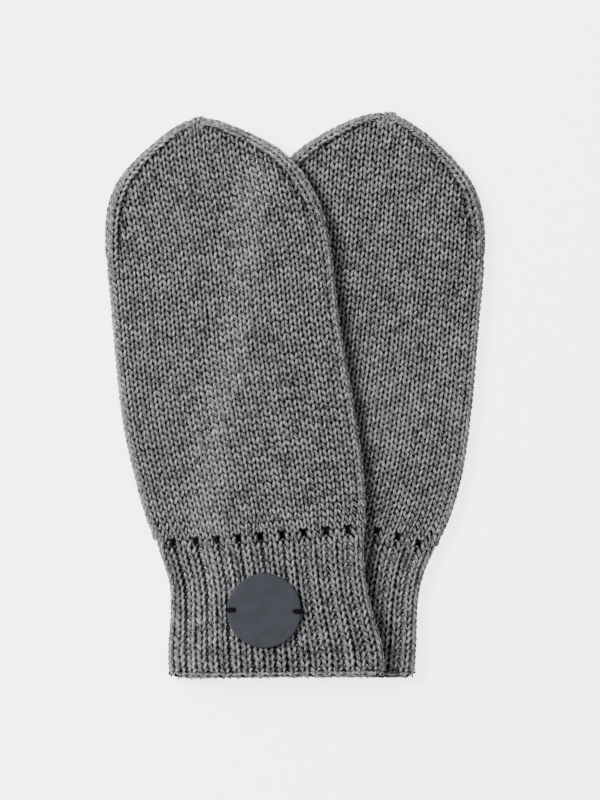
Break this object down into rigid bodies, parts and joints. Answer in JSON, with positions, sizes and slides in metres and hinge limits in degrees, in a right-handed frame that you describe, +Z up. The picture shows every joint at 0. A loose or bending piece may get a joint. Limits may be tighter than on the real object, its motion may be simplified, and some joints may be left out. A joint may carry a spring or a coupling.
{
  "type": "pair of knitted mittens",
  "caption": "Flat-laid pair of thumbless knitted baby mittens with ribbed cuffs and a blank round leather label, one mitten lying partly over the other.",
  "frame": {"origin": "middle of the pair's plan, on the surface it lies on", "axes": "+Z up, out of the surface; +Y towards the tips; +X to the right as seen from above"},
  "size_m": [0.102, 0.1528, 0.0134],
  "materials": {
    "yarn_grey": "melange grey knitted wool, matt",
    "leather_slate": "slate grey leather, soft sheen",
    "thread_black": "black sewing thread"
  },
  "bodies": {
    "root": {"left_hand": "yarn_grey", "left_cuff": "yarn_grey", "right_hand": "yarn_grey", "right_cuff": "yarn_grey", "label": "leather_slate", "label_stitch_left": "thread_black", "label_stitch_right": "thread_black"}
  },
  "joints": []
}
